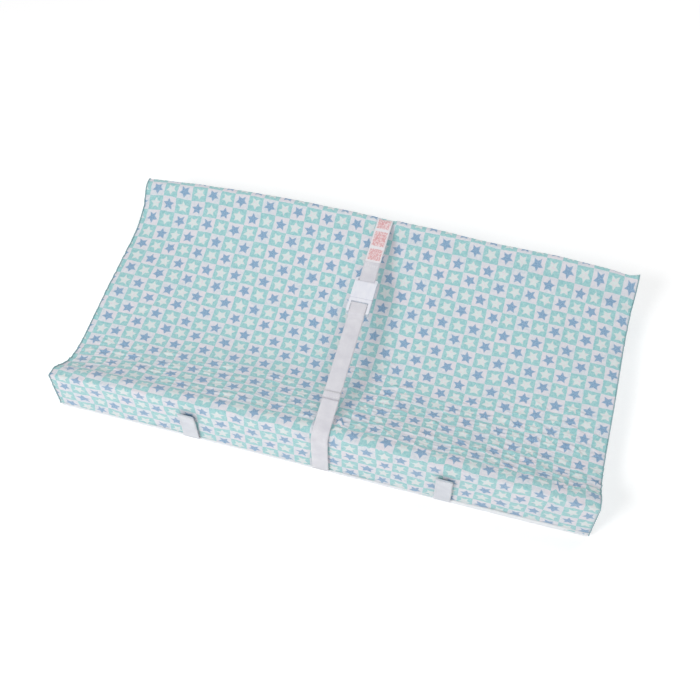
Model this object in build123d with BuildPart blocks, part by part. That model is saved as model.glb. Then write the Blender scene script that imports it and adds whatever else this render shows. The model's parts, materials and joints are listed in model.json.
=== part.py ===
from build123d import *
from math import atan2, cos, sin
import os

# A contoured changing pad: a foam trough in a sewn cover, with a buckled safety
# belt across it and two webbing tabs along the front edge.
# Millimetres. +X runs along the pad, +Y from its low front to its high rear
# crest, +Z up. The origin is the centre of the underside.

os.makedirs("parts", exist_ok=True)

# ---- pad ------------------------------------------------------------------------
pad_length = 813.0            # 32 in
pad_depth = 406.0             # 16 in
crest_radius = 12.0           # rounding of both crests
front_crest = (106.5, 98.0)   # height at mid length, height at the ends
rear_crest = (109.5, 95.0)
front_slope = (29.0, 40.0)    # slope of the trough just inside the crest, degrees
rear_slope = (37.0, 49.0)
# Trough: distance from the middle, height at mid length, height at the ends.
trough = (
    (-150.0, 86.0, 65.0),
    (-120.0, 70.5, 54.0),
    (-75.0, 52.0, 51.0),
    (-15.0, 44.0, 51.0),
    (60.0, 54.5, 50.0),
    (112.0, 69.5, 51.0),
    (141.0, 80.5, 58.0),
    (163.0, 89.5, 68.5),
)
loft_stations = 7             # cross-sections along the pad
loft_reach = pad_length / 2 + 1

sheet = 1.2                   # printed cover and end panels
foam_ease = 0.6               # between foam and cover
ease = 0.1                    # between webbing and what it touches
tray_height = 9.6             # underside panel's turned-up edge
seam_height = 1.6             # sewn seam above that edge
seam_top = tray_height + seam_height
bottom_seam_proud = 0.3
end_seam_width = 1.6
end_seam_proud = 1.0

# ---- webbing --------------------------------------------------------------------
webbing_width = 25.0
webbing = 1.4                 # thickness
strap_gap = 0.4               # between strap and cover
belt_x_rear = 0.0             # where the belt crosses the rear and front crests
belt_x_front = 9.0
fold_gap = 0.2                # between folded layers of one strap
fold_radius = 1.7
thread = 0.3                  # thickness of stitching

# ---- buckle, along the taut belt from mid depth, positive towards the front -------
half_buckle = 17.5            # half the width across the belt
buckle_low, buckle_high = -3.7, 4.9   # below and above the straps' middle plane
buckle_corner = 2.5
buckle_edge = 0.8
female_rear = -78.0
mouth = -39.0
female_slope = (9.0, 3.2)     # length and depth of the female half's rear slope
pocket_half = 14.6            # half the width inside the female half
pocket_rear = -69.0
pocket_low, pocket_high = -2.1, 3.3
window_rear, window_front = -67.5, -55.0
end_bar_top = -0.9            # the rear strap passes over this bar
slot_rear, slot_front = -74.6, -71.0
shoulder = mouth + 0.3        # male half's face against the mouth
shoulder_depth = 6.5
shoulder_low = 1.0            # the front strap passes under the shoulder
male_front = -12.0
rail_inside = 13.1            # half the gap between the male half's rails
ladder_bars = (-27.5, -14.0)
bar_width = 3.0
bar_low, bar_high = 2.5, 4.5
bar_rounding = 0.9
plug_rear, plug_front = -42.0, -38.4
plug_half = 14.2
plug_low, plug_high = -1.8, 2.9
tongue_rear, tongue_half = -63.0, 2.5
prong_pivot = (-41.2, 10.0)   # along the belt, across it
prong_boss = 2.4              # radius
pivot_play = 0.05
# Outline of the prong on the +X side: along the belt, across it.
prong_outline = (
    (-41.2, 11.6),
    (-51.0, 12.6),
    (-55.7, 13.6),
    (-55.7, 16.9),
    (-59.5, 16.9),
    (-66.0, 11.8),
    (-66.0, 9.8),
    (-56.0, 10.6),
    (-41.2, 8.4),
)

# ---- where straps, tail, label and tacks end, along the taut belt -----------------
rear_loop_end = -108.0
strap_stop = -9.9
tail_end = 140.0
tail_hem = 12.0
label_span = (-184.0, -112.0)
label_thickness = 0.6
tack_start, tack_rows, tack_pitch = -106.0, 3, 2.0
hem_rows = (130.0, 137.0)     # stitch rows of the tail's hem
stitch_width = 1.0
stitch_margin = 2.0           # from the webbing's edges

# ---- tabs on the front wall ---------------------------------------------------------
tab_x = 192.0
tab_gap = 0.8
tab_height = 70.0
tab_hem = 9.0
tab_root = 10.4               # height of the fold that the tab turns about


def finish(piece, name):
    """Label a finished piece and write it to its own file."""
    piece.part.label = name
    export_step(piece.part, f"parts/{name}.step")


# ======== pad body =================================================================
def at_station(ends, x):
    """A measure that is ends[0] at mid length and swells to ends[1] at the ends."""
    share = abs(2 * x / pad_length) ** 3
    return ends[0] + (ends[1] - ends[0]) * share


def outline(x, inset, base):
    """The pad's outline across its length at x, moved in by inset, above base."""
    half = pad_depth / 2 - inset
    radius = crest_radius - inset
    front_top = at_station(front_crest, x) - inset
    rear_top = at_station(rear_crest, x) - inset
    front_turn = 90 + at_station(front_slope, x)
    rear_turn = 90 + at_station(rear_slope, x)
    dip = [(y, at_station((mid, end), x) - inset) for y, mid, end in trough]
    with BuildLine() as edge:
        front = CenterArc((radius - half, front_top - radius), radius, 180, -front_turn)
        rear = CenterArc((half - radius, rear_top - radius), radius, rear_turn, -rear_turn)
        Spline(front @ 1, *dip, rear @ 0, tangents=(front % 1, rear % 0))
        Polyline(rear @ 1, (half, base), (-half, base), front @ 0)
    return edge.line


def trough_block(inset, base, half_length):
    """Solid trough shape, moved in by inset, from base up, 2 x half_length long."""
    with BuildPart() as trimmed:
        for n in range(loft_stations):
            x = loft_reach * (2 * n / (loft_stations - 1) - 1)
            with BuildSketch(Plane.YZ.offset(x)):
                add(outline(x, inset, base))
                make_face()
        loft()
        Box(2 * half_length, 2 * pad_depth, 2 * pad_depth, mode=Mode.INTERSECT)
    return trimmed.part


foam_half = pad_length / 2 - end_seam_width - ease
with BuildPart() as foam_core:
    add(trough_block(sheet + foam_ease, sheet + ease, foam_half))
finish(foam_core, "foam_core")

# The printed sheet: front wall, front crest, trough, rear crest and rear wall in one.
with BuildPart() as cover_top:
    add(trough_block(0, seam_top, pad_length / 2 - end_seam_width))
    add(trough_block(sheet, seam_top - 5, pad_length / 2), mode=Mode.SUBTRACT)
finish(cover_top, "cover_top")

# Each end: a flat panel, and the raised seam that joins it to the sheet's edge.
for side, name in ((-1, "left"), (1, "right")):
    end_x = side * pad_length / 2
    with BuildPart() as end_panel:
        with BuildSketch(Plane.YZ.offset(end_x)):
            add(outline(end_x, sheet, seam_top))
            make_face()
        extrude(amount=-side * sheet)
    finish(end_panel, f"{name}_end_panel")

    with BuildPart() as end_seam:
        with BuildSketch(Plane.YZ.offset(end_x)):
            add(outline(end_x, -end_seam_proud, seam_top))
            make_face()
            add(outline(end_x, sheet, seam_top - end_seam_width))
            make_face(mode=Mode.SUBTRACT)
        extrude(amount=-side * end_seam_width)
    finish(end_seam, f"{name}_end_seam")

# The underside panel turns up all round, and the seam above it holds the walls,
# the straps and the tabs.
with BuildPart() as bottom_panel:
    Box(pad_length, pad_depth, tray_height, align=(Align.CENTER, Align.CENTER, Align.MIN))
    with Locations((0, 0, sheet)):
        Box(pad_length - 2 * sheet, pad_depth - 2 * sheet, tray_height,
            align=(Align.CENTER, Align.CENTER, Align.MIN), mode=Mode.SUBTRACT)
finish(bottom_panel, "bottom_panel")

with BuildPart() as bottom_seam:
    with BuildSketch(Plane.XY.offset(tray_height)):
        Rectangle(pad_length + 2 * bottom_seam_proud, pad_depth + 2 * bottom_seam_proud)
        Rectangle(pad_length - 2 * sheet, pad_depth - 2 * sheet, mode=Mode.SUBTRACT)
    extrude(amount=seam_height)
finish(bottom_seam, "bottom_seam")

# ======== safety belt ==============================================================
# The belt lies in one upright plane, turned a little from the pad's middle plane.
belt_turn = atan2(belt_x_front - belt_x_rear, pad_depth)
belt_plane = Plane(
    origin=((belt_x_front + belt_x_rear) / 2, 0, 0),
    x_dir=(-sin(belt_turn), cos(belt_turn), 0),
    z_dir=(cos(belt_turn), sin(belt_turn), 0),
)
# Webbing runs up a wall, round the crest and straight across the trough.
wrap_radius = crest_radius + strap_gap + webbing / 2
crest_reach = pad_depth / 2 - crest_radius
wall_reach = crest_reach + wrap_radius
belt_fall = atan2(rear_crest[0] - front_crest[0], 2 * crest_reach)
crest_middle = (rear_crest[0] + front_crest[0]) / 2 - crest_radius
belt_height = crest_middle + wrap_radius / cos(belt_fall)

# The taut belt's own frame: x towards the front, y towards +X, z away from the
# trough. Its z = 0 is the middle of the straps' thickness.
belt_forward = -(belt_plane.x_dir * cos(belt_fall) + Vector(0, 0, sin(belt_fall)))
taut = Plane(
    origin=belt_plane.origin + Vector(0, 0, belt_height),
    x_dir=belt_forward,
    z_dir=belt_forward.cross(belt_plane.z_dir),
)
along_belt = Axis(taut.origin, taut.x_dir)
across_belt = Axis(taut.origin, taut.y_dir)
off_belt = Axis(taut.origin, taut.z_dir)
half_webbing = webbing_width / 2
strap_top = webbing / 2


def on_taut(along, above=0.0):
    """A point of the taut belt's frame, in the upright belt plane."""
    return (
        -along * cos(belt_fall) - above * sin(belt_fall),
        belt_height - along * sin(belt_fall) + above * cos(belt_fall),
    )


def up_wall(side):
    """A strap's foot at the rear (1) or front (-1) wall, and its crest corner."""
    reach = side * wall_reach
    corner = belt_height + reach * sin(belt_fall) / cos(belt_fall)
    return (reach, seam_top + ease), (reach, corner)


def band(points, radii):
    """Webbing of even thickness along a rounded path in the upright belt plane."""
    with BuildPart() as strap:
        with BuildSketch(belt_plane):
            with BuildLine():
                FilletPolyline(*points, radius=radii)
            trace(line_width=webbing)
        extrude(amount=half_webbing, both=True)
    return strap.part


def block(along, across, above):
    """A box in the taut belt's frame, each pair its low and high side."""
    with BuildPart(taut) as piece:
        with Locations((along[0], across[0], above[0])):
            Box(
                along[1] - along[0],
                across[1] - across[0],
                above[1] - above[0],
                align=(Align.MIN, Align.MIN, Align.MIN),
            )
    return piece.part


def ladder_bar(middle):
    """One rounded bar between the male half's rails, for webbing to turn round."""
    span = (middle - bar_width / 2, middle + bar_width / 2)
    with BuildPart() as rounded:
        add(block(span, (-rail_inside - 1, rail_inside + 1), (bar_low, bar_high)))
        fillet(rounded.edges().filter_by(across_belt), bar_rounding)
    return rounded.part


def stitch_row(start, height):
    """A row of thread across the belt, standing on webbing at this height."""
    reach = half_webbing - stitch_margin
    return block((start, start + stitch_width), (-reach, reach), (height, height + thread))


# Rear strap: up the rear wall, over the crest, then round the female half's end bar
# and back under itself as far as its bar tack.
slot_middle = (slot_rear + slot_front) / 2
loop_drop = buckle_low - fold_gap - webbing / 2
under = -webbing - fold_gap
with BuildPart() as rear_strap:
    rear_path = [
        *up_wall(1),
        on_taut(slot_middle),
        on_taut(slot_middle, loop_drop),
        on_taut(female_rear - 1.5, loop_drop),
        on_taut(female_rear - 10.5, under),
        on_taut(rear_loop_end, under),
    ]
    add(band(rear_path, [wrap_radius, fold_radius, fold_radius, 6, 8]))
finish(rear_strap, "rear_strap")

with BuildPart() as rear_loop_stitches:
    for n in range(tack_rows):
        add(stitch_row(tack_start + n * tack_pitch, strap_top))
finish(rear_loop_stitches, "rear_loop_stitches")

# Woven label, sewn flat on the rear strap.
with BuildPart() as strap_label:
    label_low = strap_top + ease / 2
    add(block(label_span, (-half_webbing, half_webbing), (label_low, label_low + label_thickness)))
finish(strap_label, "strap_label")

# Front strap: up the front wall and over the crest, to just under the male half.
with BuildPart() as front_strap:
    add(band([*up_wall(-1), on_taut(strap_stop)], wrap_radius))
finish(front_strap, "front_strap")

# ======== buckle ===================================================================
slab = (buckle_low, buckle_high)

# Female half: hollow, with a side window for each barb and an end bar for the strap.
with BuildPart() as buckle_female:
    add(block((female_rear, mouth), (-half_buckle, half_buckle), slab))
    top_face = buckle_female.faces().sort_by(off_belt)[-1]
    rear_edge = top_face.edges().sort_by(along_belt)[0]
    chamfer(rear_edge, female_slope[0], female_slope[1], reference=top_face)
    fillet(buckle_female.edges().filter_by(off_belt), buckle_corner)
    fillet(buckle_female.faces().sort_by(off_belt)[-1].edges(), buckle_edge)
    strap_way = (-rail_inside, rail_inside)
    add(block((slot_rear, slot_front), strap_way, (buckle_low - 1, buckle_high + 1)), mode=Mode.SUBTRACT)
    add(block((female_rear - 1, slot_front), strap_way, (end_bar_top, buckle_high + 1)), mode=Mode.SUBTRACT)
    pocket = (pocket_low, pocket_high)
    add(block((pocket_rear, mouth + 1), (-pocket_half, pocket_half), pocket), mode=Mode.SUBTRACT)
    window_reach = half_buckle + 1
    add(block((window_rear, window_front), (-window_reach, window_reach), pocket), mode=Mode.SUBTRACT)
finish(buckle_female, "buckle_female")

# Male half: two rails joined by a shoulder and two ladder bars, and a plug with a
# guide tongue that enters the female half. Each prong roots in a round seat.
with BuildPart() as buckle_male:
    add(block((shoulder, male_front), (-half_buckle, half_buckle), slab))
    fillet(buckle_male.edges().filter_by(off_belt), buckle_corner)
    fillet(buckle_male.faces().sort_by(off_belt)[-1].edges(), buckle_edge)
    rail_way = (-rail_inside, rail_inside)
    add(block((shoulder - 1, male_front + 1), rail_way, (buckle_low - 1, shoulder_low)), mode=Mode.SUBTRACT)
    ladder_way = (shoulder + shoulder_depth, male_front + 1)
    add(block(ladder_way, rail_way, (buckle_low - 1, buckle_high + 1)), mode=Mode.SUBTRACT)
    for middle in ladder_bars:
        add(ladder_bar(middle))
    add(block((plug_rear, plug_front), (-plug_half, plug_half), (plug_low, plug_high)))
    add(block((tongue_rear, plug_front), (-tongue_half, tongue_half), (plug_low + 0.6, plug_high - 0.5)))
    with BuildSketch(taut.offset(plug_low)):
        with Locations(prong_pivot, (prong_pivot[0], -prong_pivot[1])):
            Circle(prong_boss + pivot_play)
    extrude(amount=plug_high - plug_low, mode=Mode.SUBTRACT)
finish(buckle_male, "buckle_male")

# Each prong is a springy arm with a barb; squeezing it turns it about its root.
for side, name in ((-1, "left"), (1, "right")):
    with BuildPart() as prong:
        with BuildSketch(taut.offset(plug_low)):
            with BuildLine():
                Polyline(*[(along, side * across) for along, across in prong_outline], close=True)
            make_face()
            with Locations((prong_pivot[0], side * prong_pivot[1])):
                Circle(prong_boss)
        extrude(amount=plug_high - plug_low)
    finish(prong, f"{name}_prong")

# The free end of the front strap: from under the ladder, round its inner bar, over
# the outer one and along the top of the strap to a folded hem.
under_bars = bar_low - ease - webbing / 2
over_bars = bar_high + ease + webbing / 2
behind_bar = ladder_bars[0] - bar_width / 2 - ease - webbing / 2
tail_level = webbing + 0.35
with BuildPart() as strap_tail:
    tail_path = [
        on_taut(male_front - 0.4, under_bars),
        on_taut(behind_bar, under_bars),
        on_taut(behind_bar, over_bars),
        on_taut(male_front + 1.5, over_bars),
        on_taut(male_front + 9, tail_level),
        on_taut(tail_end, tail_level),
    ]
    add(band(tail_path, [fold_radius, fold_radius, 5, 8]))
    hem_low = tail_level + webbing / 2
    add(block((tail_end - tail_hem, tail_end), (-half_webbing, half_webbing), (hem_low, hem_low + webbing)))
finish(strap_tail, "strap_tail")

with BuildPart() as tail_hem_stitches:
    for start in hem_rows:
        add(stitch_row(start, hem_low + webbing))
finish(tail_hem_stitches, "tail_hem_stitches")

# ======== tabs =====================================================================
# Each tab comes out of the bottom seam and stands against the front wall. Its rounded
# root is the fold that it turns about. The top is hemmed on the outside.
tab_y = -pad_depth / 2 - tab_gap - webbing / 2
tab_outside = tab_y - webbing / 2
hem_bottom = tab_root + tab_height - tab_hem
border = half_webbing - stitch_margin
border_length = tab_height - tab_hem - 2 * stitch_margin


def tab_stitching(x):
    """Thread sunk flush in the tab at x: a line down each border, one across the hem."""
    with BuildPart() as lines:
        foot = tab_root + stitch_margin
        with Locations((x - border, tab_outside, foot), (x + border, tab_outside, foot)):
            Box(stitch_width, thread, border_length, align=(Align.CENTER, Align.MIN, Align.MIN))
        with Locations((x, tab_outside - webbing, hem_bottom + stitch_margin)):
            Box(2 * border, thread, stitch_width, align=(Align.CENTER, Align.MIN, Align.CENTER))
    return lines.part


for side, name in ((-1, "left"), (1, "right")):
    with BuildPart() as tab:
        with BuildSketch(Plane.YZ.offset(side * tab_x)):
            with Locations((tab_y, tab_root)):
                Circle(webbing / 2)
            with Locations((tab_y, tab_root + tab_height / 2)):
                Rectangle(webbing, tab_height)
            with Locations((tab_outside - webbing / 2, tab_root + tab_height - tab_hem / 2)):
                Rectangle(webbing, tab_hem)
        extrude(amount=half_webbing, both=True)
        add(tab_stitching(side * tab_x), mode=Mode.SUBTRACT)
    finish(tab, f"{name}_tab")

    with BuildPart() as tab_stitches:
        add(tab_stitching(side * tab_x))
    finish(tab_stitches, f"{name}_tab_stitches")
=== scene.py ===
import json
from math import acos, cos, pi, radians, sin, sqrt, tan

import bpy
import numpy as np
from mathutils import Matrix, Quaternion, Vector
from mathutils.bvhtree import BVHTree


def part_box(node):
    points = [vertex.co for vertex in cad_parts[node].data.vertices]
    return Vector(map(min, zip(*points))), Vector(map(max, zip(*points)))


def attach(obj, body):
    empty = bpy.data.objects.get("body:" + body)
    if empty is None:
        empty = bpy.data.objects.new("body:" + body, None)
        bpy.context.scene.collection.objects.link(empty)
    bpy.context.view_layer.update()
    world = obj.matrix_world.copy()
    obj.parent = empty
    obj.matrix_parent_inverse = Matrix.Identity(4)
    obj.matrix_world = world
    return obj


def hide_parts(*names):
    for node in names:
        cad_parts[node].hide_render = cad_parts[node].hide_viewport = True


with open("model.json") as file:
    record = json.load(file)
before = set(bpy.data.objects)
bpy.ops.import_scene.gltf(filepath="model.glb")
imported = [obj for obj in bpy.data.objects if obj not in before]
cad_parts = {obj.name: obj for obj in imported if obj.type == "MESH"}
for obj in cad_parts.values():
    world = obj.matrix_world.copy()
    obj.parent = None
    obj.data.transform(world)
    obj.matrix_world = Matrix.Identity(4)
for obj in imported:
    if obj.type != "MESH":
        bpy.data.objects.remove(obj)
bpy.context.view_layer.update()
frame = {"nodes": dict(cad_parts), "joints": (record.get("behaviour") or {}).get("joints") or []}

# A contoured changing pad: foam in a printed cover, a buckled belt and two tabs.
# Metres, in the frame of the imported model: +X along the pad, +Y to its rear, +Z up.

mm = 0.001
rng = np.random.default_rng(7)

# ---- sizes read from the frame -------------------------------------------------------
cover_low, cover_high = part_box("cover_top")
_, panel_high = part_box("bottom_panel")
seam_low, seam_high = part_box("bottom_seam")
half_length, half_depth = panel_high.x, panel_high.y
cover_half = cover_high.x              # the printed sheet stops at the end seams
seam_top = cover_low.z
joints = {j["name"]: j for j in frame["joints"]}

# ---- print ---------------------------------------------------------------------------
pitch = 24.4 * mm                      # one square of the checker
print_x = (10 * mm, 17.7)              # this x is at this column
print_z = (92.5 * mm, 18.5)            # this height on the front wall is at this row

# ---- cover ---------------------------------------------------------------------------
crest_radius = 12 * mm
tuck = 1.2 * mm                        # how far the cover runs down behind the seam
sheet = 0.6 * mm                       # cover thickness
columns = 531                          # points along the pad
wall_points, crest_points, trough_points = 36, 16, 290

# ---- webbing and belt, along the taut belt from mid depth ------------------------------
webbing = 1.4 * mm
webbing_width = 25 * mm
strap_gap = 0.4 * mm
wrap_radius = crest_radius + strap_gap + webbing / 2
pivot_along, pivot_above = -41.2 * mm, 0.5 * mm
female_rear = -78 * mm
slot_middle = -72.8 * mm               # the female half's strap slot
loop_drop = -4.6 * mm                  # the folded strap under the end bar
loop_end = -108 * mm
under_layer = -1.6 * mm
front_strap_end = -9.9 * mm
ladder_back = -29.8 * mm               # behind the male half's inner bar
male_front = -12 * mm
under_bars, over_bars = 1.7 * mm, 5.3 * mm
tail_level = 1.75 * mm
tail_end, tail_hem = 140 * mm, 12 * mm
label_end, label_length = -112 * mm, 98 * mm
label_width, label_thickness = 24.6 * mm, 0.6 * mm
fold_radius = 1.7 * mm
tack_start, tack_pitch, tack_count = -106 * mm, 2 * mm, 3      # rows that close the rear strap's loop
hem_rows = (130.5 * mm, 137.5 * mm)    # rows that close the tail's hem
stitch_half = webbing_width / 2 - 2 * mm                        # half a row's length
stitch_length, stitch_gap = 2.6 * mm, 0.9 * mm


# ======== mesh helpers ================================================================
def quads(rows, columns, closed=False):
    """Faces of a grid of points, row by row. A closed grid joins its last column to its first."""
    r, c = np.meshgrid(np.arange(rows - 1), np.arange(columns if closed else columns - 1), indexing="ij")
    r, c = r.ravel(), c.ravel()
    d = (c + 1) % columns
    return np.stack([r * columns + c, r * columns + d, (r + 1) * columns + d, (r + 1) * columns + c], 1)


def face_outwards(mesh):
    """Turns the faces over if, taken together, they face the pad's core."""
    core = (0, 0, 0.02)
    count = len(mesh.polygons)
    normal, centre, area = np.zeros(count * 3), np.zeros(count * 3), np.zeros(count)
    mesh.polygons.foreach_get("normal", normal)
    mesh.polygons.foreach_get("center", centre)
    mesh.polygons.foreach_get("area", area)
    from_core = centre.reshape(-1, 3) - core
    if ((from_core * normal.reshape(-1, 3)).sum(1) * area).sum() < 0:
        mesh.flip_normals()


def piece(name, points, faces, material, body, stands_for=(), uv=None):
    """A smooth mesh object that rides on a body. uv is one (u, v) for each point."""
    mesh = bpy.data.meshes.new(name)
    mesh.from_pydata(np.asarray(points, float).reshape(-1, 3).tolist(), [],
                     [tuple(map(int, f)) for f in faces])
    if uv is not None:
        layer = mesh.uv_layers.new(name="print")
        corner = np.zeros(len(mesh.loops), np.int32)
        mesh.loops.foreach_get("vertex_index", corner)
        layer.data.foreach_set("uv", np.asarray(uv, np.float32).reshape(-1, 2)[corner].ravel())
    mesh.polygons.foreach_set("use_smooth", np.ones(len(mesh.polygons), bool))
    mesh.validate()
    face_outwards(mesh)
    mesh.materials.append(material)
    made = bpy.data.objects.new(name, mesh)
    bpy.context.scene.collection.objects.link(made)
    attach(made, body)
    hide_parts(*stands_for)
    return made


def thicken(made, thickness):
    """Gives a sheet its thickness, inwards."""
    solid = made.modifiers.new("thickness", "SOLIDIFY")
    solid.thickness = thickness
    solid.offset = -1


def distances(path):
    """How far along its path each point is."""
    return np.concatenate([[0], np.cumsum(np.linalg.norm(np.diff(path, axis=0), axis=1))])


def smooth(value, low, high):
    """0 below low, 1 above high, and a soft step between."""
    t = np.clip((value - low) / (high - low), 0, 1)
    return t * t * (3 - 2 * t)


def hump(value, middle, spread):
    """1 at middle, falling softly to 0 over about twice the spread."""
    return np.exp(-(((value - middle) / spread) ** 2))


def undulation(a, b, size, count=9):
    """Gentle waves over two coordinates, about -1 to 1, with features of this size."""
    total = np.zeros_like(a)
    for _ in range(count):
        turn, phase = rng.uniform(0, 2 * pi, 2)
        wave = 2 * pi / (size * rng.uniform(0.8, 1.7))
        total += np.sin(wave * (a * cos(turn) + b * sin(turn)) + phase)
    return total / sqrt(count)


# ======== materials ===================================================================
def rgb(red, green, blue):
    """A colour given in display values, 0 to 255, as the linear colour that a shader takes."""
    shares = [c / 255 for c in (red, green, blue)]
    return (*[((c + 0.055) / 1.055) ** 2.4 if c > 0.04045 else c / 12.92 for c in shares], 1)


class Shader:
    """A material's nodes, with short calls for the ones used here."""

    def __init__(self, name, roughness, sheen=0.0, specular=0.5, coat=0.0):
        self.material = bpy.data.materials.new(name)
        self.material.use_nodes = True
        self.tree = self.material.node_tree
        self.surface = self.tree.nodes["Principled BSDF"]
        self.surface.inputs["Roughness"].default_value = roughness
        self.surface.inputs["Sheen Weight"].default_value = sheen
        self.surface.inputs["Specular IOR Level"].default_value = specular
        self.surface.inputs["Coat Weight"].default_value = coat
        where = self.tree.nodes.new("ShaderNodeTexCoord")
        self.place, self.uv = where.outputs["Object"], where.outputs["UV"]

    def node(self, kind, **inputs):
        made = self.tree.nodes.new("ShaderNode" + kind)
        for name, value in inputs.items():
            self.feed(made.inputs[name], value)
        return made

    def feed(self, socket, value):
        if isinstance(value, bpy.types.NodeSocket):
            self.tree.links.new(value, socket)
        else:
            socket.default_value = value

    def math(self, operation, *values):
        made = self.tree.nodes.new("ShaderNodeMath")
        made.operation = operation
        for socket, value in zip(made.inputs, values):
            self.feed(socket, value)
        return made.outputs[0]

    def vector_math(self, operation, *values, scale=None):
        made = self.tree.nodes.new("ShaderNodeVectorMath")
        made.operation = operation
        if scale is not None:
            made.inputs["Scale"].default_value = scale
        for socket, value in zip(made.inputs, values):
            self.feed(socket, value)
        return made.outputs[0]

    def noise(self, scale, detail=2.0, vector=None, stretch=None):
        """Noise from 0 to 1, with this many features in a metre or in a square of the print."""
        vector = self.place if vector is None else vector
        if stretch:
            moved = self.node("Mapping", Vector=vector)
            moved.inputs["Scale"].default_value = stretch
            vector = moved.outputs[0]
        return self.node("TexNoise", Vector=vector, Scale=scale, Detail=detail).outputs["Fac"]

    def ramp(self, value, low, high):
        made = self.node("MapRange", Value=value)
        made.inputs["From Min"].default_value = low
        made.inputs["From Max"].default_value = high
        return made.outputs["Result"]

    def mix(self, share, first, second):
        made = self.tree.nodes.new("ShaderNodeMix")
        made.data_type = "RGBA"
        for socket, value in zip((made.inputs[0], made.inputs[6], made.inputs[7]), (share, first, second)):
            self.feed(socket, value)
        return made.outputs[2]

    def finish(self, colour, height=None, depth=0.0002, strength=0.5, roughness=None):
        self.feed(self.surface.inputs["Base Color"], colour)
        if roughness is not None:
            self.feed(self.surface.inputs["Roughness"], roughness)
        if height is not None:
            made = self.node("Bump", Height=height, Distance=depth, Strength=strength)
            self.tree.links.new(made.outputs[0], self.surface.inputs["Normal"])
        return self.material


def star_print():
    """White and mint squares in a checker, with a blue or a white star in each. Lengths in squares."""
    tip, notch = 0.405, 0.205            # radii of a star's points and of the notches between them
    star_shift = 0.02                    # a star's middle, from its square's middle
    soft_edge = 0.022
    threads = 34
    s = Shader("star_print", roughness=0.52, sheen=0.12, specular=0.35)
    wobble = s.node("TexNoise", Vector=s.uv, Scale=4.0, Detail=4.0).outputs["Color"]
    centred = s.vector_math("SUBTRACT", wobble, (0.5, 0.5, 0.5))
    moved = s.vector_math("ADD", s.uv, s.vector_math("SCALE", centred, scale=0.1))
    split = s.node("SeparateXYZ", Vector=moved)
    u, v = split.outputs[0], split.outputs[1]
    column, row = s.math("FLOOR", u), s.math("FLOOR", v)
    odd_row = s.math("FLOORED_MODULO", row, 2.0)
    is_mint = s.math("FLOORED_MODULO", s.math("ADD", column, row), 2.0)
    across = s.math("SUBTRACT", s.math("SUBTRACT", u, column), 0.5)
    down = s.math("SUBTRACT", s.math("SUBTRACT", v, row), 0.5)
    # Stars in odd rows point to the front, and in even rows to the rear.
    towards_tip = s.math("MULTIPLY", down, s.math("MULTIPLY_ADD", odd_row, 2.0, -1.0))
    towards_tip = s.math("ADD", towards_tip, star_shift)
    distance = s.math("SQRT", s.math("MULTIPLY_ADD", across, across,
                                     s.math("MULTIPLY", towards_tip, towards_tip)))
    angle = s.math("ARCTAN2", across, towards_tip)
    fold = s.math("SUBTRACT", s.math("FLOORED_MODULO", s.math("ADD", angle, pi / 5), 2 * pi / 5), pi / 5)
    fold = s.math("ABSOLUTE", fold)
    edge_x, edge_y = notch * cos(pi / 5) - tip, notch * sin(pi / 5)
    length = sqrt(edge_x ** 2 + edge_y ** 2)
    out_x, out_y = edge_y / length, -edge_x / length
    along = s.math("MULTIPLY", distance, s.math("COSINE", fold))
    aside = s.math("MULTIPLY", distance, s.math("SINE", fold))
    outside = s.math("MULTIPLY_ADD", s.math("SUBTRACT", along, tip), out_x, s.math("MULTIPLY", aside, out_y))
    star = s.ramp(outside, soft_edge, -soft_edge)

    coarse = s.ramp(s.noise(6.0, 3.0, s.uv), 0.35, 0.65)
    speckle = s.ramp(s.noise(15.0, 2.0, s.uv), 0.38, 0.62)
    patches = s.ramp(s.noise(9.0, 2.0, s.uv), 0.52, 0.66)
    tint = s.ramp(s.noise(0.8, 1.0, s.uv), 0.4, 0.6)
    mint = s.mix(coarse, rgb(154, 207, 210), rgb(184, 223, 222))
    mint = s.mix(s.math("MULTIPLY", speckle, 0.5), mint, rgb(136, 194, 199))
    white = s.mix(coarse, rgb(229, 229, 234), rgb(210, 219, 228))
    white = s.mix(s.math("MULTIPLY", tint, 0.5), white, rgb(236, 225, 232))
    blue = s.mix(speckle, rgb(124, 160, 196), rgb(156, 187, 211))
    cream = s.mix(patches, rgb(222, 232, 231), rgb(230, 218, 226))
    square = s.mix(is_mint, white, mint)
    drawn = s.mix(is_mint, blue, cream)
    weave = s.math("MULTIPLY", s.math("SINE", s.math("MULTIPLY", u, 2 * pi * threads)),
                   s.math("SINE", s.math("MULTIPLY", v, 2 * pi * threads)))
    height = s.math("ADD", s.math("MULTIPLY", weave, 0.35), s.noise(2.5, 4.0, s.uv))
    return s.finish(s.mix(star, square, drawn), height, depth=0.0006, strength=0.35,
                    roughness=s.ramp(s.noise(3.0, 3.0, s.uv), -0.9, 2.1))


def webbing_cloth(name, colour, shade):
    """Ribbed webbing. Its map runs u across and v along, in millimetres."""
    rib_pitch, cord_pitch = 1.6, 1.25
    s = Shader(name, roughness=0.6, sheen=0.25, specular=0.4)
    split = s.node("SeparateXYZ", Vector=s.uv)
    rib = s.math("SINE", s.math("MULTIPLY", split.outputs[1], 2 * pi / rib_pitch))
    cord = s.math("SINE", s.math("MULTIPLY", split.outputs[0], 2 * pi / cord_pitch))
    weave = s.math("MULTIPLY_ADD", rib, 0.5, s.math("MULTIPLY", cord, 0.35))
    mottle = s.ramp(s.noise(60.0, 3.0), 0.3, 0.7)
    tone = s.math("MULTIPLY_ADD", s.ramp(weave, -0.8, 0.8), -0.35, s.math("MULTIPLY", mottle, 0.55))
    return s.finish(s.mix(s.math("ADD", tone, 0.35), colour, shade), weave, depth=0.0004, strength=0.6)


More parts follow.
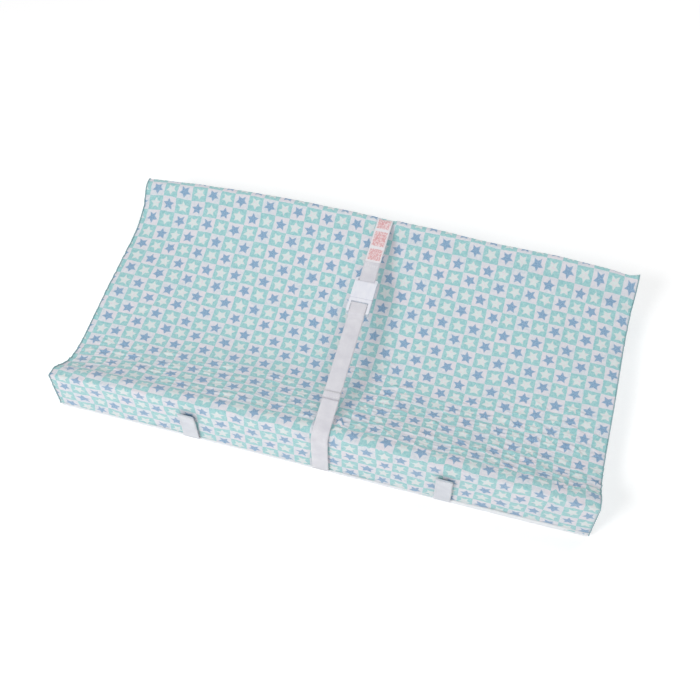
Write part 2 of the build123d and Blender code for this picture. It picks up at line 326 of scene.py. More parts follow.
def label_cloth():
    """White woven ribbon with three plain rose blocks. Its map is in millimetres from its front end."""
    blocks = ((3.5, 26.5), (31.5, 62.0), (67.0, 94.0))
    block_half, fade = 10.0, 0.8
    thread_pitch = 1.5
    s = Shader("label_ribbon", roughness=0.55, sheen=0.1, specular=0.35)
    split = s.node("SeparateXYZ", Vector=s.uv)
    u, v = split.outputs[0], split.outputs[1]
    frayed = s.math("MULTIPLY", s.math("SUBTRACT", s.noise(900.0, 2.0), 0.5), 1.6)
    edge = s.math("ADD", v, frayed)
    block = 0.0
    for start, end in blocks:
        inside = s.math("MULTIPLY", s.ramp(edge, start, start + fade), s.ramp(edge, end, end - fade))
        block = s.math("ADD", block, inside)
    middle = s.math("ABSOLUTE", s.math("ADD", u, s.math("MULTIPLY", frayed, 0.7)))
    block = s.math("MULTIPLY", block, s.ramp(middle, block_half + fade / 2, block_half - fade / 2))
    threads = s.math("SINE", s.math("MULTIPLY", v, 2 * pi / thread_pitch))
    rose = s.mix(s.ramp(threads, -1.0, 1.0), rgb(214, 148, 152), rgb(232, 186, 188))
    rose = s.mix(s.ramp(s.noise(620.0, 2.0, stretch=(1, 0.5, 1)), 0.42, 0.62), rose, rgb(240, 222, 224))
    return s.finish(s.mix(block, rgb(236, 234, 238), rose), threads, depth=0.0002, strength=0.4)


def plain(name, light, dark, scale, roughness, depth, sheen=0.1, specular=0.4):
    """A mottled cloth or foam, between two colours, with a grain of this many features in a metre."""
    s = Shader(name, roughness=roughness, sheen=sheen, specular=specular)
    grain = s.noise(scale, 4.0)
    tone = s.ramp(s.noise(scale / 12, 3.0), 0.3, 0.7)
    colour = s.mix(s.math("MULTIPLY_ADD", grain, 0.5, s.math("MULTIPLY", tone, 0.5)), light, dark)
    return s.finish(colour, grain, depth=depth, strength=0.6)


def buckle_plastic():
    """Smooth pale moulded plastic with faint flow marks."""
    s = Shader("moulded_plastic", roughness=0.25, specular=0.6, coat=0.3)
    s.surface.inputs["Coat Roughness"].default_value = 0.12
    s.surface.inputs["Subsurface Weight"].default_value = 0.08
    s.surface.inputs["Subsurface Radius"].default_value = (0.003, 0.003, 0.003)
    flow = s.noise(220.0, 2.0, stretch=(1, 0.3, 1))
    tone = s.ramp(flow, 0.3, 0.7)
    return s.finish(s.mix(tone, rgb(228, 230, 240), rgb(236, 237, 244)), s.noise(1500.0, 2.0),
                    depth=0.00005, strength=0.3, roughness=s.ramp(flow, -1.2, 3.2))


print_cloth = star_print()
belt_cloth = webbing_cloth("belt_webbing", rgb(234, 233, 238), rgb(211, 210, 219))
tab_cloth = webbing_cloth("tab_webbing", rgb(230, 232, 238), rgb(208, 211, 220))
label_ribbon = label_cloth()
plastic = buckle_plastic()
thread = plain("thread", rgb(246, 246, 248), rgb(222, 222, 228), 2500.0, 0.5, 0.0002)
# End seam piping: a real seam, coloured a darker teal than the print. The darker teal is painted shade along
# the seam.
seam_cloth_painted_shade = plain("folded_edge_painted_shade", rgb(176, 204, 207), rgb(116, 156, 163), 260.0, 0.6, 0.0004)
bottom_edge_cloth = plain("bottom_edge", rgb(240, 241, 243), rgb(222, 226, 230), 300.0, 0.6, 0.0003)
underside_cloth = plain("underside_cloth", rgb(244, 245, 247), rgb(230, 233, 237), 500.0, 0.55, 0.0003)
grip_rubber = plain("grip_dots", rgb(214, 218, 224), rgb(196, 201, 208), 900.0, 0.45, 0.0001)
foam_cells = plain("foam_cells", rgb(244, 236, 205), rgb(226, 214, 176), 900.0, 0.9, 0.0006)

# ======== cover outline, read from the frame ==========================================
stations = np.linspace(-cover_half, cover_half, 41)


def ray_surface(node):
    """A search tree over a CAD node's surface."""
    mesh = frame["nodes"][node].data
    return BVHTree.FromPolygons([v.co for v in mesh.vertices], [p.vertices for p in mesh.polygons])


def outline_at(tree, x):
    """The cover's outline at x as (y, z) points, from the front wall's foot to the rear wall's."""
    inside = min(max(x, -cover_half + mm), cover_half - mm)
    reach = half_depth - crest_radius
    depth = np.linspace(-reach, reach, 390)
    height = np.array([tree.ray_cast(Vector((inside, y, 1)), Vector((0, 0, -1)))[0].z for y in depth])
    travelled = np.concatenate([[0], np.cumsum(np.hypot(np.diff(depth), np.diff(height)))])
    even = np.linspace(0, travelled[-1], trough_points)
    trough = np.stack([np.interp(even, travelled, depth), np.interp(even, travelled, height)], 1)
    ends = []
    for side, top in ((-1, height[0]), (1, height[-1])):
        wall = np.linspace(seam_top - tuck, top - crest_radius, wall_points, endpoint=False)
        turn = np.linspace(0, pi / 2, crest_points, endpoint=False)
        arc_y = side * (reach + crest_radius * np.cos(turn))
        arc_z = top - crest_radius + crest_radius * np.sin(turn)
        ends.append(np.concatenate([
            np.stack([np.full(wall_points, side * half_depth), wall], 1), np.stack([arc_y, arc_z], 1)]))
    return np.concatenate([ends[0], trough, ends[1][::-1]])


cover_tree = ray_surface("cover_top")
outlines = np.array([outline_at(cover_tree, x) for x in stations])


def outline(x):
    """The outline at any x, between the stations, as an array of (y, z)."""
    share = np.interp(x, stations, np.arange(len(stations)))
    n = min(int(share), len(stations) - 2)
    return outlines[n] + (outlines[n + 1] - outlines[n]) * (share - n)


def settle(points):
    """The pad's own gentle bows and sags, which the CAD's straight walls don't have.

    s runs from -1 at the left end to 1 at the right, and back and up are in millimetres."""
    x, y, z = np.moveaxis(np.asarray(points, float), -1, 0)
    s = x / half_length
    rear, front = smooth(y, 0, 0.19), smooth(-y, 0, 0.19)
    above = smooth(z, 0, 0.06)
    back = -7.8 * (s ** 2 - 1 / 3) + 1.4 * (s ** 3 - 0.6 * s)
    back = back + rear * (5.5 - 1.5 * s - 1.3 * s ** 2) + front * (7.4 * s ** 2 - 0.8)
    up = rear * (-2.5 + 1.5 * s - 5.0 * s ** 2) + front * (-0.7 + 3.0 * s - 8.7 * s ** 2)
    up = up + (1 - rear - front) * (-1.4 + 5.8 * s - 0.8 * s ** 2)
    # At the right the rear crest stands further back and higher.
    right = smooth(s, 0.25, 1.0) * smooth(y, 0.165, 0.203)
    back = back + 9.0 * right * above
    up = up + 6.0 * right
    return np.stack([x, y + back * mm, z + up * above * mm], -1)


def print_uv(x, travelled):
    """Columns and rows of the print at x and at this distance up the cover from its front foot."""
    u = (x - print_x[0]) / pitch + print_x[1]
    v = print_z[1] - (travelled - (print_z[0] - seam_top + tuck)) / pitch
    return u, v


# ======== printed cover ===============================================================
def fold_lines(x, s, count, x_range, s_range, length, width, height, tilt):
    """Many short soft folds scattered over a patch of the cover, mostly along the pad."""
    total = np.zeros_like(x)
    for _ in range(count):
        middle_x, middle_s = rng.uniform(*x_range), rng.uniform(*s_range)
        long, wide = rng.uniform(*length), rng.uniform(*width)
        turn, curve = rng.normal(0, tilt), rng.normal(0, 5.0)
        near = (np.abs(x - middle_x) < 2.5 * long) & (np.abs(s - middle_s) < 2.5 * long)
        dx, ds = x[near] - middle_x, s[near] - middle_s
        along = dx * cos(turn) + ds * sin(turn)
        across = ds * cos(turn) - dx * sin(turn) + curve * along ** 2
        q = (across / wide) ** 2
        total[near] += rng.uniform(*height) * (1 - 1.1 * q) * np.exp(-q - (along / long) ** 2)
    return total


def wrinkles(x, s, reach, front_crest, rear_crest):
    """How far the cover stands off the foam, in metres. s runs up the cover from its front foot."""
    trough = smooth(s, front_crest, front_crest + 0.03) * smooth(reach - s, 0.12, 0.15)
    total = 0.8 * mm * undulation(x, s, 0.16) + 0.45 * mm * undulation(x, s, 0.06)
    slope = (front_crest + 0.006, front_crest + 0.16)
    whole = (-0.4, 0.4)
    # Each patch: how many folds, where along and up the cover, their length, width, height and tilt.
    patches = (
        (560, (0.0, 0.4), slope, (0.006, 0.016), (0.0019, 0.0032), (0.0005, 0.0016), 0.25),
        (320, (-0.4, 0.0), (slope[0], slope[1] - 0.05), (0.006, 0.020), (0.0019, 0.0036), (0.0003, 0.0011),
         0.2),
        (110, (0.25, 0.4), (slope[0], slope[1] + 0.02), (0.008, 0.024), (0.0022, 0.0038), (0.0008, 0.0022),
         0.35),
        (40, (0.02, 0.09), (slope[0], slope[1] + 0.03), (0.010, 0.024), (0.0024, 0.004), (0.0008, 0.0018),
         0.3),
        (260, whole, (0.0, front_crest - 0.012), (0.006, 0.024), (0.0024, 0.0046), (0.0003, 0.0012), 0.2),
        (110, whole, (rear_crest + 0.02, reach), (0.012, 0.04), (0.003, 0.006), (0.0002, 0.0009), 0.12),
        (130, whole, (front_crest + 0.16, rear_crest - 0.01), (0.012, 0.05), (0.004, 0.009), (-0.0003, 0.0006),
         0.9))
    for patch in patches:
        total += fold_lines(x, s, *patch)
    # One crease runs in from the left end below the rear crest.
    crease_s, crease_x = rear_crest - 0.052, -cover_half + 0.028
    along = (x - crease_x) * cos(0.75) + (s - crease_s) * sin(0.75)
    across = (s - crease_s) * cos(0.75) - (x - crease_x) * sin(0.75)
    crease = np.exp(-(along / 0.030) ** 4)
    total += (1.6 * mm * hump(across, 0.004, 0.005) - 2.4 * mm * hump(across, -0.001, 0.0028)) * crease
    # Puckers along both end seams.
    for side in (-1, 1):
        inward = cover_half - side * x
        gather = np.sin(2 * pi * s / 0.021 + 2.2 * np.sin(s * 37)) + 0.6 * np.sin(2 * pi * s / 0.0125 + side)
        total += 0.55 * mm * gather * np.exp(-inward / 0.012) - 0.5 * mm * np.exp(-inward / 0.006)
    return total * (0.55 + 0.45 * trough)


cover_x = np.linspace(-cover_half, cover_half, columns)
base = np.array([outline(x) for x in cover_x])
steps = np.hypot(*np.moveaxis(np.diff(base, axis=1), 2, 0))
travelled = np.concatenate([np.zeros((columns, 1)), np.cumsum(steps, axis=1)], axis=1)
grid_x = np.repeat(cover_x[:, None], base.shape[1], axis=1)
cover_points = settle(np.concatenate([grid_x[..., None], base], axis=2))
front_crest = wall_points + crest_points
rear_crest = front_crest + trough_points

tangent_x = np.gradient(cover_points, axis=0)
tangent_s = np.gradient(cover_points, axis=1)
normals = np.cross(tangent_x, tangent_s)
normals /= np.linalg.norm(normals, axis=2, keepdims=True)
middle = columns // 2
reach = travelled[middle, -1]
raised = wrinkles(grid_x, travelled / travelled[:, -1:] * reach, reach,
                  travelled[middle, front_crest], travelled[middle, rear_crest])

# The belt presses the cover flat where it crosses the crests and runs down the walls.
pivots = [Vector(joints[f"{side}_prong_squeeze"]["pos_m"]) for side in ("left", "right")]
belt_forward = Vector(joints["buckle_slide"]["axis"]).normalized()
belt_up = Vector(joints["right_prong_squeeze"]["axis"]).normalized()
belt_side = belt_up.cross(belt_forward)
belt_middle = (pivots[0] + pivots[1]) / 2 - belt_forward * pivot_along - belt_up * pivot_above


def belt_x(y):
    """Where the belt's centre line is at this depth."""
    return belt_middle.x - (y - belt_middle.y) * belt_side.y / belt_side.x


off_belt = np.abs(grid_x - belt_x(cover_points[..., 1]))
outside_trough = np.ones_like(raised)
outside_trough[:, front_crest + 8:rear_crest - 8] = 0
pressed = smooth(0.020 - off_belt, 0, 0.008) * outside_trough
raised = raised * (1 - pressed) - 0.5 * mm * pressed
for turn_start in (wall_points, rear_crest):
    crest_middle = travelled[:, turn_start + crest_points // 2][:, None]
    spread = 0.35 + 0.65 * smooth(np.abs(grid_x), 0.15, 0.4)
    raised += 1.6 * mm * hump(travelled, crest_middle, 0.005) * smooth(off_belt, 0.022, 0.05) * spread
raised = np.maximum(raised, -1.0 * mm)
raised += 0.7 * mm * hump(off_belt, 0.022, 0.006) * outside_trough
# The rear right corner ends in a small standing ear of cloth.
corner_y = cover_points[..., 1].max()
ear = hump(grid_x, cover_half, 0.010) * hump(cover_points[..., 1], corner_y - 0.002, 0.012)
cover_points = cover_points + normals * raised[..., None]
# The front crest turns in a crisp edge, except where the belt presses it round.
turn = np.linspace(0, pi / 2, crest_points, endpoint=False)
crisp = smooth(off_belt[:, wall_points:front_crest], 0.02, 0.045)
cover_points[:, wall_points:front_crest, 1] -= crest_radius * (np.cos(turn) ** 0.45 - np.cos(turn)) * crisp
cover_points[:, wall_points:front_crest, 2] += crest_radius * (np.sin(turn) ** 0.45 - np.sin(turn)) * crisp
corner_at = travelled[:, wall_points:wall_points + 1] + 0.5 * crest_radius
beyond = np.maximum(travelled - corner_at, 0)
cover_points[..., 2] += (5 * mm * smooth(travelled - corner_at, -0.010, 0) * np.exp(-((beyond / 0.016) ** 1.5))
                         * smooth(off_belt, 0.02, 0.045) * (cover_points[..., 1] < 0))
cover_points[..., 2] += 5 * mm * ear
cover_points[..., 1] += 3 * mm * ear
# The print follows the cloth; what the crisp edge takes up is shared out on both sides of it.
cloth_steps = np.linalg.norm(np.diff(cover_points, axis=1), axis=2)
cloth = np.concatenate([np.zeros((columns, 1)), np.cumsum(cloth_steps, axis=1)], axis=1)
far = front_crest + 24
taken_up = (cloth - travelled)[:, far:far + 1]
shared = smooth(travelled - corner_at, -0.045, 0.05)
print_length = np.where(travelled < travelled[:, far:far + 1], cloth - taken_up * shared, travelled)
cover_uv = np.stack(print_uv(grid_x, print_length), -1)
loose = 0.4 + 0.4 * smooth(-cover_points[..., 1], 0.12, 0.19)    # the print runs less true at the front
cover_uv[..., 0] += 0.07 * loose * undulation(grid_x, travelled, 0.06)
cover_uv[..., 1] += 0.09 * loose * undulation(grid_x, travelled, 0.07)
cover = piece("printed_cover", cover_points, quads(columns, base.shape[1]), print_cloth, "pad",
              ["cover_top"], cover_uv)
thicken(cover, sheet)


# ======== ends: panel, seam and puckers ================================================
bead_points = 10                       # points round a bead
end_rows = 26                          # points up an end cloth


def sweep(path, outward, along, width, height, ripple=0.0, ripple_pitch=0.006):
    """A rounded bead along a path. outward is the way it stands, along the way across it."""
    steps = distances(path)
    turn = np.linspace(0, 2 * pi, bead_points, endpoint=False)
    swell = 1 + ripple * np.sin(2 * pi * steps / ripple_pitch) + 0.5 * ripple * np.sin(2 * pi * steps / 0.019)
    across = np.sign(np.cos(turn)) * np.abs(np.cos(turn)) ** 0.8
    up = np.sign(np.sin(turn)) * np.abs(np.sin(turn)) ** 0.8
    ring = (path[:, None] + along[:, None] * (across * width / 2)[None, :, None]
            + outward[:, None] * (up[None, :] * height / 2 * swell[:, None])[..., None])
    return ring.reshape(-1, 3), quads(len(path), bead_points, closed=True)


def end_cap(points, faces, rings, around):
    """Closes both ends of a swept grid."""
    last = (rings - 1) * around
    return [*faces.tolist(), list(range(around))[::-1], [last + n for n in range(around)]]


for side, name in ((-1, "left"), (1, "right")):
    edge = 0 if side < 0 else columns - 1
    rim = cover_points[edge].copy()
    rim_normal = normals[edge]
    # Panel: a column of points under each rim point, from the seam up, bulging softly.
    foot_z = seam_top - tuck
    share = np.linspace(0, 1, end_rows)[None, :]
    y = rim[:, 1:2] * np.ones_like(share)
    bulge_y = 1 - np.abs(rim[:, 1:2] / half_depth) ** 4
    spread = np.clip((rim[:, 2:3] - foot_z) / 0.06, 0, 1)
    z = foot_z + (rim[:, 2:3] - foot_z) * share
    bulge = 3.2 * mm * np.clip(bulge_y, 0, 1) * spread * np.sin(pi * share) ** 0.8
    bulge = bulge + 0.45 * mm * undulation(y, z, 0.045) * np.sin(pi * share)
    x = side * (cover_half + 0.4 * mm + bulge)
    panel = np.stack([x, y, z], -1)
    u = side * y / pitch + 0.3
    v = print_z[1] - (z - print_z[0]) / pitch
    faces = quads(len(rim), end_rows)
    cloth = piece(f"{name}_end_cloth", panel, faces if side < 0 else faces[:, ::-1], print_cloth, "pad",
                  [f"{name}_end_panel"], np.stack([u, v], -1))
    thicken(cloth, sheet)
    # Seam: the folded edges of sheet and panel, standing a little proud of both. The seam is real, but its
    # darker teal than the print is painted shade along the seam.
    path = rim + rim_normal * 0.4 * mm
    path[:, 0] += side * 0.6 * mm
    across = np.tile(np.array([1.0, 0, 0]), (len(path), 1))
    bead, bead_faces = sweep(path, rim_normal, across, 1.3 * mm, 2.2 * mm, ripple=0.16)
    piece(f"{name}_end_piping", bead, end_cap(bead, bead_faces, len(path), bead_points), seam_cloth_painted_shade, "pad",
          [f"{name}_end_seam"])

# ======== underside and its seam =======================================================
corner = 6 * mm                        # rounding of the pad's corners, seen from above


def ring_path():
    """A rounded rectangle round the pad's foot, with its outward directions."""
    spacing = 4 * mm
    lx, ly = half_length, half_depth
    points, outward = [], []
    for cx, cy, start in ((lx, ly, 0), (-lx, ly, pi / 2), (-lx, -ly, pi), (lx, -ly, 3 * pi / 2)):
        for turn in np.linspace(start, start + pi / 2, 7):
            points.append((cx - np.sign(cx) * corner + corner * cos(turn),
                           cy - np.sign(cy) * corner + corner * sin(turn), 0))
            outward.append((cos(turn), sin(turn), 0))
    points, outward = np.array(points), np.array(outward)
    filled, normals_out = [], []
    for n in range(len(points)):
        a, b = points[n], points[(n + 1) % len(points)]
        count = max(1, int(np.linalg.norm(b - a) / spacing))
        for k in range(count):
            filled.append(a + (b - a) * k / count)
            mixed = outward[n] + (outward[(n + 1) % len(points)] - outward[n]) * k / count
            normals_out.append(mixed / np.linalg.norm(mixed))
    return np.array(filled), np.array(normals_out)


ring, ring_out = ring_path()
around = distances(ring)
# Cross-section of the turned-up panel: how far in, how high, from its middle to its top.
levels = ((60, 0.9), (14, 0.8), (6, 0.7), (2.6, 0.8), (1.0, 1.2), (0.25, 2.0), (-0.2, 3.4), (-0.6, 5.2),
          (-0.9, 7.4), (-0.8, 9.4), (-0.2, 10.8))
waves = undulation(around, np.zeros_like(around), 0.05, 12)
flutter = undulation(around, np.ones_like(around), 0.016, 12)
# Towards the front's right-hand end the white edge is pulled further up the wall.
lifted = smooth(ring[:, 0], 0.02, 0.36) * smooth(-ring[:, 1], 0.15, 0.2)
rows = []
for inward, height in levels:
    puff = (0.35 * waves + 0.25 * flutter) * min(height / 4, 1) * mm
    row = ring - ring_out * (inward * mm - puff[:, None])
    row[:, 2] = height * mm * (1 + 0.6 * lifted)
    rows.append(row)
shell = settle(np.array(rows))
shell[..., 2] = np.array(rows)[..., 2]
count = len(ring)
shell_faces = quads(len(levels), count, closed=True).tolist() + [list(range(count))[::-1]]
underside = piece("underside_sheet", shell, shell_faces, underside_cloth, "pad",
                  ["bottom_panel"])
thicken(underside, sheet)

seam_ring = ring + ring_out * 0.5 * mm
seam_ring[:, 2] = (seam_low.z + seam_high.z) / 2
seam_ring = settle(seam_ring)
seam_ring[:, 2] = (seam_low.z + seam_high.z) / 2 * (1 + 0.6 * lifted) + 0.25 * mm * flutter
up = np.tile(np.array([0, 0, 1.0]), (count, 1))
closed_ring = np.concatenate([seam_ring, seam_ring[:1]])
bead, bead_faces = sweep(closed_ring, np.concatenate([up, up[:1]]), np.concatenate([ring_out, ring_out[:1]]),
                         2.4 * mm, 2.2 * mm, ripple=0.22, ripple_pitch=0.0055)
piece("bottom_piping", bead, bead_faces, bottom_edge_cloth, "pad", ["bottom_seam"])


# Grip dots under the sheet, low domes that touch what the pad stands on.
def dome(radius, height):
    """A low dome, its flat side up, as points and faces."""
    sides = 10
    turn = np.linspace(0, 2 * pi, sides, endpoint=False)
    rings = [(1.0, 1.0), (0.8, 0.35), (0.45, 0.06)]
    points = [(radius * r * cos(t), radius * r * sin(t), height * h) for r, h in rings for t in turn]
    points.append((0, 0, 0))
    faces = quads(len(rings), sides, closed=True)[:, ::-1].tolist()
    last, tip = (len(rings) - 1) * sides, len(rings) * sides
    faces += [[last + n, last + (n + 1) % sides, tip][::-1] for n in range(sides)] + [list(range(sides))]
    return np.array(points), faces


dot, dot_faces = dome(2.4 * mm, 0.6 * mm)
dot_pitch = 21 * mm
dots, all_faces = [], []
for i in range(-18, 19):
    for j in range(-8, 9):
        shift = (dot_pitch / 2 if j % 2 else 0)
        all_faces += [[v + len(dots) * len(dot) for v in f] for f in dot_faces]
        dots.append(dot + np.array([i * dot_pitch + shift, j * dot_pitch, 0]))
piece("grip_dots", np.concatenate(dots), all_faces, grip_rubber, "pad")

# ======== foam core ===================================================================
foam_gap = 1.6 * mm
foam_x = np.linspace(-cover_half + 2 * mm, cover_half - 2 * mm, 82)
foam_rows = []
for x in foam_x:
    loop = outline(x)[::3]
    shape = settle(np.concatenate([np.full((len(loop), 1), x), loop], axis=1))
    inwards = np.gradient(shape, axis=0)
    inwards = np.stack([np.zeros(len(shape)), inwards[:, 2], -inwards[:, 1]], 1)
    inwards /= np.linalg.norm(inwards, axis=1, keepdims=True)
    shape = shape + inwards * (foam_gap + 0.4 * mm)
    shape[:, 2] = np.maximum(shape[:, 2], 3 * mm)
    feet = shape[[-1, 0]].copy()
    feet[:, 2] = 2.2 * mm
    foam_rows.append(np.concatenate([shape, feet]))
foam = np.array(foam_rows)
foam_around = foam.shape[1]
foam_faces = quads(len(foam_x), foam_around, closed=True)
block = piece("foam_block", foam, end_cap(foam, foam_faces, len(foam_x), foam_around), foam_cells, "pad",
              ["foam_core"])


# ======== webbing =====================================================================
def on_belt(along, above=0.0):
    """A point of the taut belt, this far along it and above its middle."""
    return belt_middle + belt_forward * along + belt_up * above


def at_wall(side):
    """A strap's foot at the rear (1) or front (-1) wall, and the corner over its crest."""
    y = side * (half_depth + strap_gap + webbing / 2)
    foot = Vector((belt_x(y), y, seam_top + 0.1 * mm))
    rise = -(foot - belt_middle).dot(belt_up) / belt_up.z
    return foot, foot + Vector((0, 0, rise))


def rounded(corners, radii):
    """Points along straight runs joined by arcs, one radius for each corner between the ends."""
    step = 1.2 * mm
    path = [corners[0]]
    for before, here, after, radius in zip(corners, corners[1:], corners[2:], radii):
        back, ahead = (before - here).normalized(), (after - here).normalized()
        half = acos(max(-1, min(1, back.dot(ahead)))) / 2
        reach = min(radius / tan(half), 0.49 * (before - here).length, 0.49 * (after - here).length)
        centre = here + (back + ahead).normalized() * (reach / cos(half))
        start, end = here + back * reach - centre, here + ahead * reach - centre
        turn = start.rotation_difference(end)
        count = max(3, int(turn.angle * start.length / step) + 2)
        for n in range(count + 1):
            path.append(centre + Quaternion(turn.axis, turn.angle * n / count) @ start)
    path.append(corners[-1])
    even = [path[0]]
    for a, b in zip(path, path[1:]):
        if (b - a).length > 1e-7:
            count = max(1, int((b - a).length / (3 * step)))
            even += [a + (b - a) * (k + 1) / count for k in range(count)]
    return np.array(even)


def ribbon(path, across, width, thickness):
    """Webbing along a path: across is its width's direction. Returns points, faces and a map in mm."""
    crown = 0.12                         # how much thicker it is in the middle
    tangent = np.gradient(path, axis=0)
    tangent /= np.linalg.norm(tangent, axis=1, keepdims=True)
    across = np.array(across, float)
    up = np.cross(tangent, across)
    up /= np.linalg.norm(up, axis=1, keepdims=True)
    steps = distances(path)
    share = np.linspace(-1, 1, 15)
    edge = np.sqrt(np.clip(1 - np.abs(share) ** 9, 0.05, 1))
    cords = 0.05 * np.cos(share * 17 * pi)
    top = np.stack([share, (edge * (1 + crown * (1 - share ** 2)) + cords) / 2], 1)
    bottom = np.stack([share[::-1], -(edge * (1 - crown * (1 - share ** 2))) / 2], 1)
    section = np.concatenate([top, bottom])
    wobble = 0.12 * mm * np.sin(2 * pi * steps / 0.071) + 0.08 * mm * np.sin(2 * pi * steps / 0.023)
    half = width / 2 + wobble[:, None] * np.sign(section[:, 0])[None]
    points = (path[:, None] + across[None, None] * (section[:, 0][None] * half)[..., None]
              + up[:, None] * (section[:, 1] * thickness)[None, :, None])
    u = np.tile(section[:, 0] * width / 2 / mm, (len(path), 1))
    v = np.repeat(steps[:, None] / mm, len(section), axis=1)
    return points, quads(len(path), len(section), closed=True), np.stack([u, v], -1)


def webbing_piece(name, path, across, material, body, stands_for, width=webbing_width,
                  thickness=webbing):
    """A closed piece of webbing or ribbon along a path."""
    points, faces, uv = ribbon(path, across, width, thickness)
    faces = end_cap(points, faces, len(path), points.shape[1])
    piece(name, points, faces, material, body, stands_for, uv)


def strap(name, corners, radii, body, stands_for):
    """A strap of the belt along a rounded route."""
    webbing_piece(name, rounded(corners, radii), belt_side, belt_cloth, body, stands_for)


def stitch_rows(name, rows, normal, body, stands_for):
    """Rows of separate raised stitches, each row a start and an end point on a surface."""
    sides = 8
    half_width, half_height = 0.42 * mm, 0.36 * mm
    turn = np.linspace(0, 2 * pi, sides, endpoint=False)
    rings = [(-1.0, 0.25), (-0.75, 0.75), (-0.3, 1.0), (0.3, 1.0), (0.75, 0.75), (1.0, 0.25)]
    points, faces = [], []
    for start, end in rows:
        run = Vector(end) - Vector(start)
        along = run.normalized()
        aside = along.cross(Vector(normal))
        count = max(1, int(run.length / (stitch_length + stitch_gap)))
        for n in range(count):
            middle = Vector(start) + run * (n + 0.5) / count
            first = len(points)
            for place, size in rings:
                for t in turn:
                    points.append(middle + along * (place * stitch_length / 2)
                                  + aside * (half_width * size * cos(t))
                                  + Vector(normal) * (half_height * size * sin(t)))
            faces += (quads(len(rings), sides, closed=True) + first).tolist()
            last = first + (len(rings) - 1) * sides
            faces += [[first + k for k in range(sides)][::-1], [last + k for k in range(sides)]]
    piece(name, [list(p) for p in points], faces, thread, body, stands_for)


rear_foot, rear_corner = at_wall(1)
front_foot, front_corner = at_wall(-1)
strap("rear_belt", [rear_foot, rear_corner, on_belt(slot_middle), on_belt(slot_middle, loop_drop),
                    on_belt(female_rear - 1.5 * mm, loop_drop), on_belt(female_rear - 10.5 * mm, under_layer),
                    on_belt(loop_end, under_layer)],
      [wrap_radius, fold_radius, fold_radius, 6 * mm, 8 * mm], "pad", ["rear_strap"])
strap("front_belt", [front_foot, front_corner, on_belt(front_strap_end)], [wrap_radius], "pad", ["front_strap"])
strap("belt_tail", [on_belt(male_front - 0.4 * mm, under_bars), on_belt(ladder_back, under_bars),
                    on_belt(ladder_back, over_bars), on_belt(male_front + 1.5 * mm, over_bars),
                    on_belt(male_front + 9 * mm, tail_level), on_belt(tail_end, tail_level)],
      [fold_radius, fold_radius, 5 * mm, 8 * mm], "buckle_insert", ["strap_tail"])
hem_level = tail_level + webbing
strap("tail_hem", [on_belt(tail_end - tail_hem, hem_level), on_belt(tail_end, hem_level)], [],
      "buckle_insert", [])

# Woven label, from behind the rear crest down the belt.
label_level = webbing / 2 + 0.35 * mm
outside = Vector((0, label_level, 0))
route = rounded([rear_foot + outside, rear_corner + outside + belt_up * label_level,
                 on_belt(label_end, label_level)], [wrap_radius + label_level])[::-1]
route = route[distances(route) <= label_length]
webbing_piece("rose_label", route, belt_side, label_ribbon, "pad", ["strap_label"],
              label_width, label_thickness)

# Stitching: the rear strap's loop, the tail's hem.
rows = []
for n in range(tack_count):
    at = on_belt(tack_start + tack_pitch * n, webbing / 2 + 0.12 * mm)
    rows.append((at - belt_side * stitch_half, at + belt_side * stitch_half))
stitch_rows("loop_stitching", rows, belt_up, "pad", ["rear_loop_stitches"])
rows = []
for along in hem_rows:
    at = on_belt(along, hem_level + webbing / 2 + 0.1 * mm)
    rows.append((at - belt_side * stitch_half, at + belt_side * stitch_half))
stitch_rows("tail_stitching", rows, belt_up, "buckle_insert", ["tail_hem_stitches"])

# ======== tabs ========================================================================
tab_points = 40                        # points up a tab
hem_points = 6                         # of these, under the hem
side_rows = ((2, 17), (17, 33))        # each tab edge's stitches run between these points
for name in ("left", "right"):
    _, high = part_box(f"{name}_tab")
    body = f"{name}_anchor_tab"
    root = Vector(joints[f"{name}_tab_fold"]["pos_m"])
    top = high.z - root.z
    # The tab stands off the wall a little more towards its top, with a soft belly.
    height = np.linspace(0, top, tab_points)
    lean = -2.6 * mm * (height / top) ** 2 - 0.5 * mm * np.sin(pi * height / top * 2.2)
    path = np.stack([np.full(tab_points, root.x), root.y + lean, root.z + height], 1)
    webbing_piece(f"{name}_tab_webbing", path, (1, 0, 0), tab_cloth, body, [f"{name}_tab"])
    webbing_piece(f"{name}_tab_hem", path[-hem_points:] + np.array([0, -webbing, 0]), (1, 0, 0), tab_cloth,
                  body, [])
    face_y = webbing / 2 + 0.1 * mm
    rows = []
    for edge in (-stitch_half, stitch_half):
        for start, end in side_rows:
            a, b = path[start], path[end]
            rows.append(((a[0] + edge, a[1] - face_y, a[2]), (b[0] + edge, b[1] - face_y, b[2])))
    for at in (path[-5], path[-2]):
        y = at[1] - webbing - face_y
        rows.append(((at[0] - stitch_half, y, at[2]), (at[0] + stitch_half, y, at[2])))
    stitch_rows(f"{name}_tab_stitching", rows, (0, -1, 0), body, [f"{name}_tab_stitches"])

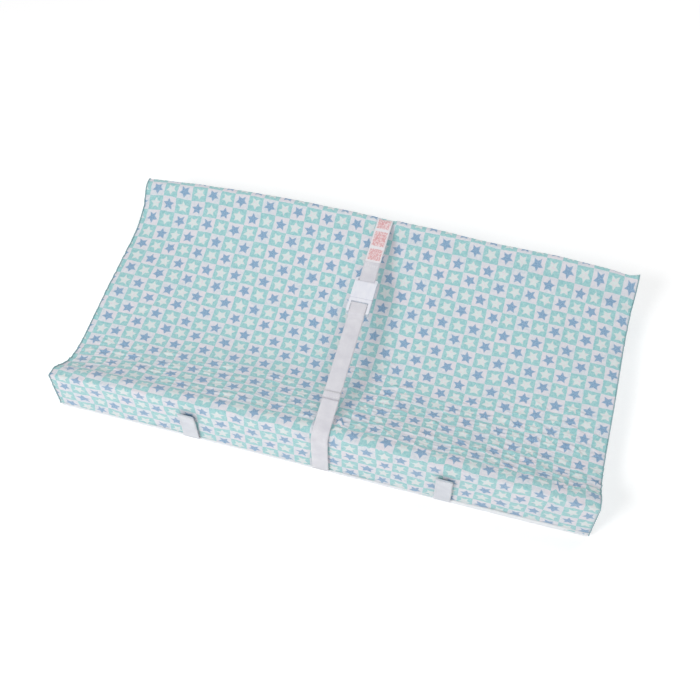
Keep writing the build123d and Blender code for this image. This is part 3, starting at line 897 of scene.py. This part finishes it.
# ======== buckle ======================================================================
for name in ("buckle_female", "buckle_male", "left_prong", "right_prong"):
    node = frame["nodes"][name]
    node.data.materials.clear()
    node.data.materials.append(plastic)

# ======== floor, light and camera =====================================================
floor_cloth = plain("studio_floor", rgb(255, 255, 255), rgb(252, 252, 252), 20.0, 0.9, 0.0001, sheen=0.0,
                    specular=0.1)
floor_surface = floor_cloth.node_tree.nodes["Principled BSDF"].inputs
floor_surface["Emission Color"].default_value = (1, 1, 1, 1)
floor_surface["Emission Strength"].default_value = 0.2
floor_size = 6.0
mesh = bpy.data.meshes.new("studio_floor")
mesh.from_pydata([(-floor_size, -floor_size, 0), (floor_size, -floor_size, 0), (floor_size, floor_size, 0),
                  (-floor_size, floor_size, 0)], [], [(0, 1, 2, 3)])
mesh.materials.append(floor_cloth)
floor_plane = bpy.data.objects.new("studio_floor", mesh)
bpy.context.scene.collection.objects.link(floor_plane)

scene = bpy.context.scene
scene.view_settings.view_transform = "Standard"
world = bpy.data.worlds.new("studio")
world.use_nodes = True
world.node_tree.nodes["Background"].inputs["Color"].default_value = (1, 1, 1, 1)
world.node_tree.nodes["Background"].inputs["Strength"].default_value = 0.46
scene.world = world


def softbox(name, place, size, power):
    """A large square light that faces the pad."""
    lamp = bpy.data.lights.new(name, "AREA")
    lamp.size = size
    lamp.energy = power
    made = bpy.data.objects.new(name, lamp)
    made.location = place
    made.rotation_euler = (Vector((0, 0, 0.05)) - Vector(place)).to_track_quat("-Z", "Y").to_euler()
    scene.collection.objects.link(made)


softbox("key_left", (-0.8, -1.6, 1.8), 0.8, 24)
softbox("overhead", (0.5, 0.8, 2.5), 1.6, 19)

azimuth, elevation = radians(15.67), radians(57.08)
camera = bpy.data.cameras.new("camera")
camera.sensor_width = 36
camera.lens = 55.08
eye = bpy.data.objects.new("camera", camera)
eye.location = (0.2427, -0.8756, 1.4298)
looking = Vector((-sin(azimuth) * cos(elevation), cos(azimuth) * cos(elevation), -sin(elevation)))
eye.rotation_euler = looking.to_track_quat("-Z", "Y").to_euler()
scene.collection.objects.link(eye)
scene.camera = eye
